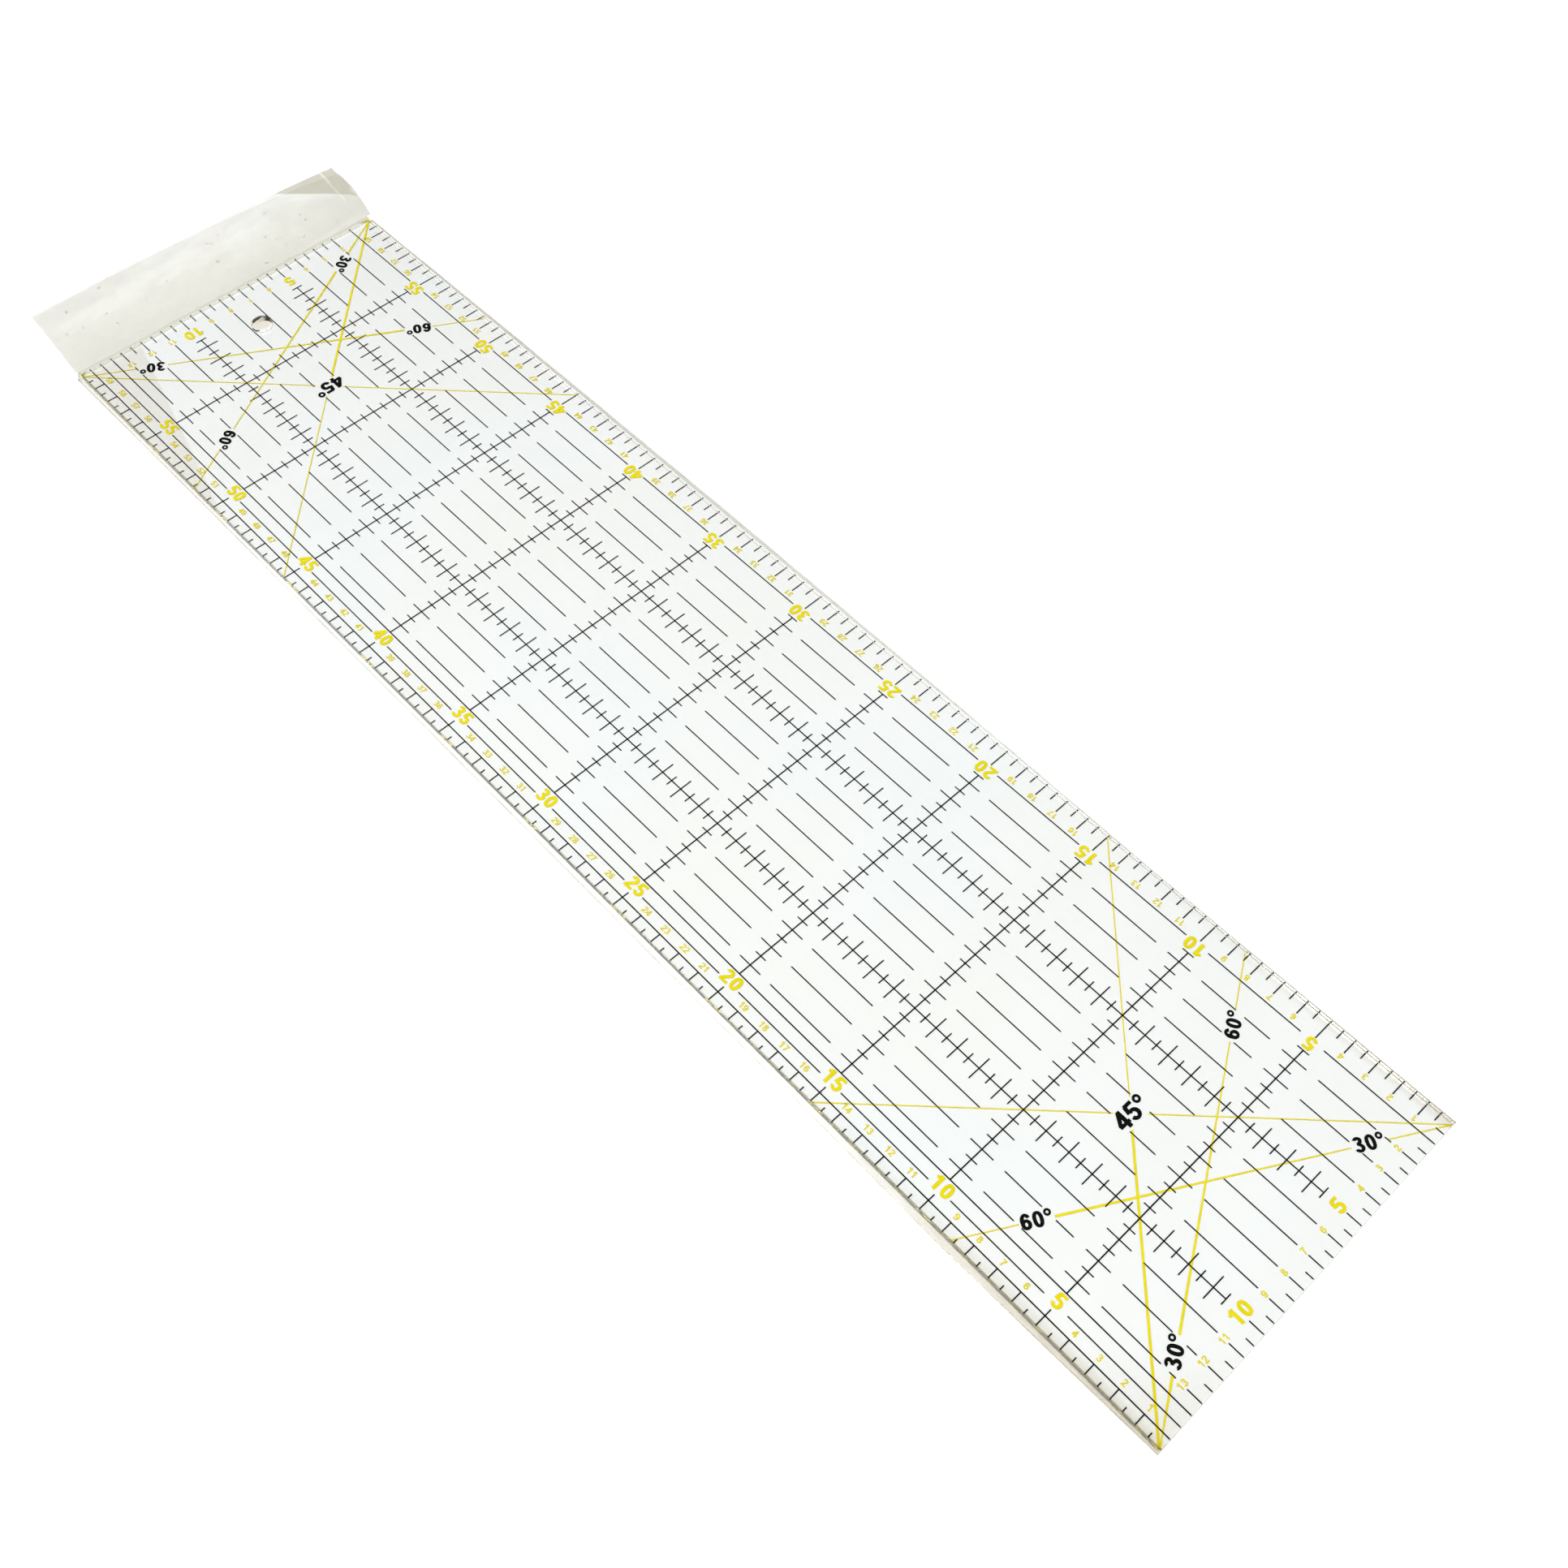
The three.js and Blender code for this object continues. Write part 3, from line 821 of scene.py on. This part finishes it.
def make_blade():
    """A sheet with rounded corners, eased edges and a hang hole, built up from its edge's profile."""
    centre = (BLADE_LOW + BLADE_HIGH) / 2
    half = (BLADE_HIGH - BLADE_LOW) / 2
    hole = Vector((HOLE_X, centre.y))
    hole_points, bevel_steps = 64, 3

    def outer(inset):
        points = []
        for sx, sy, start in ((1, -1, -90), (1, 1, 0), (-1, 1, 90), (-1, -1, 180)):
            cx = centre.x + sx * (half.x - CORNER_RADIUS)
            cy = centre.y + sy * (half.y - CORNER_RADIUS)
            reach = CORNER_RADIUS - inset
            points += arc(cx, cy, reach, reach, start, start + 90)
        return points

    def inner(inset):
        reach = HOLE_RADIUS + inset
        turns = np.linspace(0, math.tau, hole_points, endpoint=False)
        return [(hole.x + reach * math.cos(t), hole.y + reach * math.sin(t)) for t in turns]

    def walled(ring_of, outward):
        """The rings of one edge of the sheet, at every level, joined by quads."""
        rings = [[shape.verts.new((x, y, z)) for x, y in ring_of(inset)] for inset, z in levels]
        for low, high in zip(rings, rings[1:]):
            for k in range(len(low)):
                j = (k + 1) % len(low)
                quad = [low[k], low[j], high[j], high[k]]
                shape.faces.new(quad if outward else quad[::-1])
        return rings

    mesh = bpy.data.meshes.new("ruler_blade")
    shape = bmesh.new()
    profile = []
    for k in range(bevel_steps + 1):
        t = math.pi / 2 * k / bevel_steps
        profile.append((EDGE_BEVEL * (1 - math.sin(t)), BLADE_LOW.z + EDGE_BEVEL * (1 - math.cos(t))))
    levels = profile + [(inset, BLADE_LOW.z + BLADE_HIGH.z - z) for inset, z in reversed(profile)]
    outer_rings = walled(outer, True)
    inner_rings = walled(inner, False)
    for level in (0, -1):
        border, hollow = outer_rings[level], inner_rings[level]
        corners = border + hollow
        flat = [Vector(v.co.xy) * (1 / MM) for v in corners]
        loops = [list(range(len(border))), list(range(len(border), len(corners)))]
        _, _, pieces, origins, _, owners = delaunay_2d_cdt(flat, [], loops, 1, 1e-5)
        for piece, owner in zip(pieces, owners):
            if owner == [0]:
                face = [corners[origins[i][0]] for i in piece]
                shape.faces.new(face if level == -1 else face[::-1])
    shape.to_mesh(mesh)
    shape.free()
    smooth_by_angle(mesh, degrees=12)
    return add_piece("ruler_blade", mesh, acrylic_material(), "ruler", ["acrylic_blade"])


# ---------------------------------------------------------------------------------------------------------
# The film sleeve


def thin_solid(name, grid):
    """A closed sheet of film from a grid of points, shape (rows, columns, 3), on its middle surface."""
    rows, columns = grid.shape[:2]
    down = np.gradient(grid, axis=0)
    over = np.gradient(grid, axis=1)
    normal = np.cross(over, down)
    normal /= np.linalg.norm(normal, axis=2, keepdims=True)
    flip = normal[..., 2].mean() < 0
    if flip:
        normal = -normal
    top = (grid + normal * FILM / 2).reshape(-1, 3)
    bottom = (grid - normal * FILM / 2).reshape(-1, 3)
    index = np.arange(rows * columns).reshape(rows, columns)
    a, b, c, d = index[:-1, :-1], index[:-1, 1:], index[1:, 1:], index[1:, :-1]
    faces = np.stack([a, b, c, d], axis=-1).reshape(-1, 4)
    if flip:
        faces = faces[:, ::-1]
    lower = rows * columns
    under = faces[:, ::-1] + lower
    border = np.concatenate([index[0, :-1], index[:-1, -1], index[-1, :0:-1], index[:0:-1, 0]])
    following = np.roll(border, -1)
    rim = np.stack([border, border + lower, following + lower, following], axis=-1)
    if flip:
        rim = rim[:, ::-1]
    points = np.concatenate([top, bottom])
    mesh = bpy.data.meshes.new(name)
    mesh.from_pydata(points.tolist(), [], np.concatenate([faces, under, rim]).tolist())
    mesh.validate()
    smooth_by_angle(mesh, degrees=60)
    return mesh


def wrinkle(x, y, size, seed):
    """Smooth noise between -1 and 1, whose lumps are about this size across."""
    return noise.noise(Vector((x / size, y / size, seed)))


def side_profile():
    """The sleeve's cross-section from its middle to its seal: (distance from the middle, height)."""
    top = (FRONT_LOW.z + FRONT_HIGH.z) / 2
    foot = BACK_HIGH.z + FILM / 2 + 0.01 * MM
    shoulder = BLADE_HIGH.y - EDGE_BEVEL
    seal = SEAL_LOW.y
    radius = 0.8 * MM
    slope = math.atan2(top - foot, seal - shoulder)
    flat_steps, bend_steps, slope_steps = 28, 6, 8
    points = [(shoulder * k / flat_steps, top) for k in range(flat_steps)]
    points += [(shoulder - inset, top) for inset in (0.8 * MM, 0.2 * MM)]
    for k in range(bend_steps + 1):
        angle = slope * k / bend_steps
        points.append((shoulder + radius * math.sin(angle), top - radius * (1 - math.cos(angle))))
    y0, z0 = points[-1]
    for k in range(1, slope_steps + 1):
        t = k / slope_steps
        ease = t * t * (3 - 2 * t) * 0.35 + t * 0.65
        points.append((y0 + (seal - y0) * t, z0 + (foot - z0) * ease))
    points.append((SEAL_HIGH.y - 0.3 * MM, foot))
    return points


def end_profile():
    """The rise of the near end's fold to the flat, as (place along X, share of the full height)."""
    wall = FRONT_LOW.x - 0.04 * MM
    lean = 0.2 * MM
    radius = 0.3 * MM
    bend = radius / (FRONT_HIGH.z - BACK_LOW.z)
    wall_steps, bend_steps = 4, 6
    points = [(wall + lean * k / wall_steps, (1 - bend) * k / wall_steps) for k in range(wall_steps)]
    for k in range(bend_steps + 1):
        angle = math.pi / 2 * k / bend_steps
        points.append((wall + lean + radius * (1 - math.cos(angle)), 1 - bend * (1 - math.sin(angle))))
    return points


# How many mm each edge of the sleeve lies outside (or inside) the straight seal of the CAD, at centimetres
# from the near end
SHIFT_PLACES = (0, 3.7, 8.8, 13, 21, 36, 50, 60)
LEFT_SHIFTS = (-2.0, -1.0, 0.0, -0.3, -0.4, -1.0, -1.3, -1.1)
RIGHT_SHIFTS = (-0.6, -0.6, -0.8, -0.7, 0.3, 1.2, 0.9, 0.0)


def edge_shift(x, side):
    """How far outward the sleeve's edge is shifted at a place along it; side is positive on the left."""
    u = (x - BLADE_LOW.x) / CM
    return float(np.interp(u, SHIFT_PLACES, LEFT_SHIFTS if side > 0 else RIGHT_SHIFTS)) * MM


def make_front_film(material):
    """The film over the blade, down to both seals and down the near end; it is loose beside the blade."""
    ripple, ruck_height, wobble = 0.035 * MM, 0.03 * MM, 0.02 * MM
    mouth_length, mouth_lift, lifted_above = 2 * MM, 0.1 * MM, 3 * MM
    loosening, clearance = 1.2 * MM, 0.005 * MM
    flat_steps = 300
    half = side_profile()
    across_points = [(-y, z) for y, z in reversed(half[1:])] + half
    near = end_profile()
    start = near[-1][0]
    end = FRONT_HIGH.x
    flat_places = [start + (end - start) * k / flat_steps for k in range(flat_steps + 1)]
    lengthwise = near[:-1] + [(x, 1.0) for x in flat_places]
    shoulder = BLADE_HIGH.y
    foot = BACK_LOW.z + FILM / 2
    grid = np.zeros((len(across_points), len(lengthwise), 3))
    for i, (y, z_side) in enumerate(across_points):
        loose = min(1.0, max(0.0, (abs(y) - shoulder) / loosening))
        on_top = z_side > lifted_above
        for j, (x, rise) in enumerate(lengthwise):
            z = foot + (z_side - foot) * rise
            lift = ripple * wrinkle(x, y, 45 * MM, 3.1)
            if loose:
                ruck = wrinkle(x, y * 0.3, 7 * MM, 8.4) + 0.6 * wrinkle(x, y, 2.5 * MM, 1.7)
                lift += loose * ruck_height * ruck
            if rise > 0.5:
                z = max(z + lift, BACK_HIGH.z + FILM / 2 + clearance)
            mouth = max(0.0, (x - (end - mouth_length)) / mouth_length)
            share = max(0.0, (abs(y) - shoulder) / (SEAL_HIGH.y - shoulder))
            outward = share * edge_shift(x, y) + loose * wobble * wrinkle(x, 0, 14 * MM, 5.0)
            y_out = y + (outward if y > 0 else -outward)
            grid[i, j] = (x, y_out, z + (mouth_lift * mouth if on_top else 0))
    mesh = thin_solid("front_film_sheet", grid)
    nodes = ["front_film", "near_end_fold", "left_side_film", "right_side_film"]
    film = add_piece("front_film_sheet", mesh, material, "sleeve", nodes)
    return film


def make_back_film(material):
    """The film under the blade, out to the seals' edges."""
    low, high = BACK_LOW, BACK_HIGH
    middle = (low.z + high.z) / 2
    ripple = 0.008 * MM
    reach = SEAL_HIGH.y - 0.1 * MM
    xs = np.linspace(low.x, high.x, 121)
    ys = np.concatenate([[-reach], np.linspace(-BLADE_HIGH.y, BLADE_HIGH.y, 40), [reach]])
    grid = np.zeros((len(ys), len(xs), 3))
    for i, y in enumerate(ys):
        for j, x in enumerate(xs):
            outward = edge_shift(x, y) if abs(y) == reach else 0.0
            y_out = y + (outward if y > 0 else -outward)
            grid[i, j] = (x, y_out, middle + ripple * wrinkle(x, y, 30 * MM, 6.2))
    mesh = thin_solid("back_film_sheet", grid)
    film = add_piece("back_film_sheet", mesh, material, "sleeve", ["back_film"])
    return film


def make_seal(side, material):
    """A melted bead along one side, slightly uneven along its length."""
    name, cad = ("left_seal_bead", "left_seal") if side > 0 else ("right_seal_bead", "right_seal")
    low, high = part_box(cad)
    middle = (low.y + high.y) / 2
    half = (high.y - low.y) / 2
    height = high.z - low.z
    count, sides = 400, 12
    points, faces = [], []
    for j in range(count + 1):
        x = low.x + (high.x - low.x) * j / count
        swell = 0.85 + 0.15 * wrinkle(x, side, 4 * MM, 2.0)
        shift = side * edge_shift(x, side)
        for k in range(sides):
            angle = math.tau * k / sides
            y = middle + shift + half * swell * math.cos(angle)
            z = low.z + height / 2 * (1 + 0.95 * swell * math.sin(angle))
            points.append((x, y, z))
    for j in range(count):
        for k in range(sides):
            a, b = j * sides + k, j * sides + (k + 1) % sides
            faces.append((a, a + sides, b + sides, b))
    faces.append(tuple(range(sides)))
    faces.append(tuple(count * sides + k for k in reversed(range(sides))))
    mesh = bpy.data.meshes.new(name)
    mesh.from_pydata(points, [], faces)
    shape = bmesh.new()
    shape.from_mesh(mesh)
    bmesh.ops.recalc_face_normals(shape, faces=shape.faces)
    shape.to_mesh(mesh)
    shape.free()
    smooth_by_angle(mesh, degrees=60)
    add_piece(name, mesh, material, "sleeve", [cad])


def make_lip(name, material, drop, flare, cut, nodes):
    """One layer of the sleeve's mouth: it rises steeply from the crease and then levels out, more so on the
    right, where it is pleated. A layer can lie lower by drop, and on the right stand out by flare and end
    sooner by cut."""
    run = math.hypot(LIP_HIGH.x - LIP_LOW.x, LIP_HIGH.z - LIP_LOW.z)
    right, left = -LIP_HIGH.y + 0.5 * MM, LIP_HIGH.y - 1.8 * MM
    slow_wave, fast_wave, pleat_wave = 0.16, 0.04, 0.8
    corner_cut = 2 * MM
    rows, columns = 61, 185
    grid = np.zeros((rows, columns, 3))
    for j in range(columns):
        share = j / (columns - 1)
        y0 = right + (left - right) * share
        first = math.radians(48 - 16 * min(1.0, share * 1.5))
        last = math.radians(10 + 10 * min(1.0, share * 1.5))
        at_right = (1 - share) ** 6
        reach = run - corner_cut * (1 - share) ** 3 - cut * (1 - share) ** 5
        sag = drop * (1 + 3.5 * at_right)
        pleat = pleat_wave * max(0.0, 1 - share / 0.05)
        x, z = CREASE.x - 0.05 * MM, CREASE.z - 0.02 * MM - drop * 0.3
        step = reach / (rows - 1)
        for i in range(rows):
            s = i / (rows - 1)
            wave = slow_wave * wrinkle(x, y0, 40 * MM, 4.4 + drop * 900)
            wave += fast_wave * wrinkle(x, y0, 11 * MM, 9.1)
            wave += pleat * wrinkle(x * 0.25, y0, 1.8 * MM, 2.7 + drop * 500)
            y = y0 - flare * s**0.4 * at_right
            grid[i, j] = (x, y, z + (wave * MM - sag) * min(1.0, s * 4))
            angle = first + (last - first) * min(1.0, s * 1.6)
            x += step * math.cos(angle)
            z += step * math.sin(angle)
    piece = add_piece(name, thin_solid(name, grid), material, None, nodes)
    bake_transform(piece)
    return piece


# Each film's three tints, and its haze: the least share, the greatest and the colour
POCKET_TINTS = ((0.988, 0.994, 0.996, 1), (1, 1, 1, 1), (0.992, 0.991, 0.987, 1))
UPPER_LIP_TINTS = ((0.880, 0.883, 0.872, 1), (0.908, 0.912, 0.902, 1), (0.858, 0.850, 0.828, 1))
UNDER_LIP_TINTS = ((0.965, 0.966, 0.955, 1),) * 3
BACK_HAZE = (0.0, 0.001, (0.8, 0.8, 0.78, 1))
FRONT_HAZE = (0.0, 0.001, (0.56, 0.53, 0.42, 1))
SEAL_HAZE = (0.10, 0.40, (0.44, 0.44, 0.41, 1))
LIP_HAZE = (0.03, 0.07, (0.84, 0.83, 0.79, 1))


def make_sleeve(blade):
    """The pocket's two films, its sealed sides and the two layers of its lip."""
    clear = film_material("back_of_sleeve", POCKET_TINTS, BACK_HAZE, gloss=0.012, crinkle=0.008)
    front = film_material("front_of_sleeve", POCKET_TINTS, FRONT_HAZE, 0.012, 0.008, pocket_wear)
    side = film_material("sealed_film", POCKET_TINTS, SEAL_HAZE, gloss=0.03, crinkle=0.7)
    hazy = film_material("lip_film", UPPER_LIP_TINTS, LIP_HAZE, 0.012, 0.05, lip_wear)
    make_front_film(front)
    make_back_film(clear)
    make_seal(1, side)
    make_seal(-1, side)
    make_lip("lip_upper_layer", hazy, 0.0, 0.0, 0.0, ["mouth_lip"])
    under = film_material("lip_under_film", UNDER_LIP_TINTS, LIP_HAZE, gloss=0.012, crinkle=0.05)
    make_lip("lip_under_layer", under, drop=0.6 * MM, flare=4.5 * MM, cut=2 * MM, nodes=[])


make_camera()
make_light()
make_floor()
make_print()
make_sleeve(make_blade())
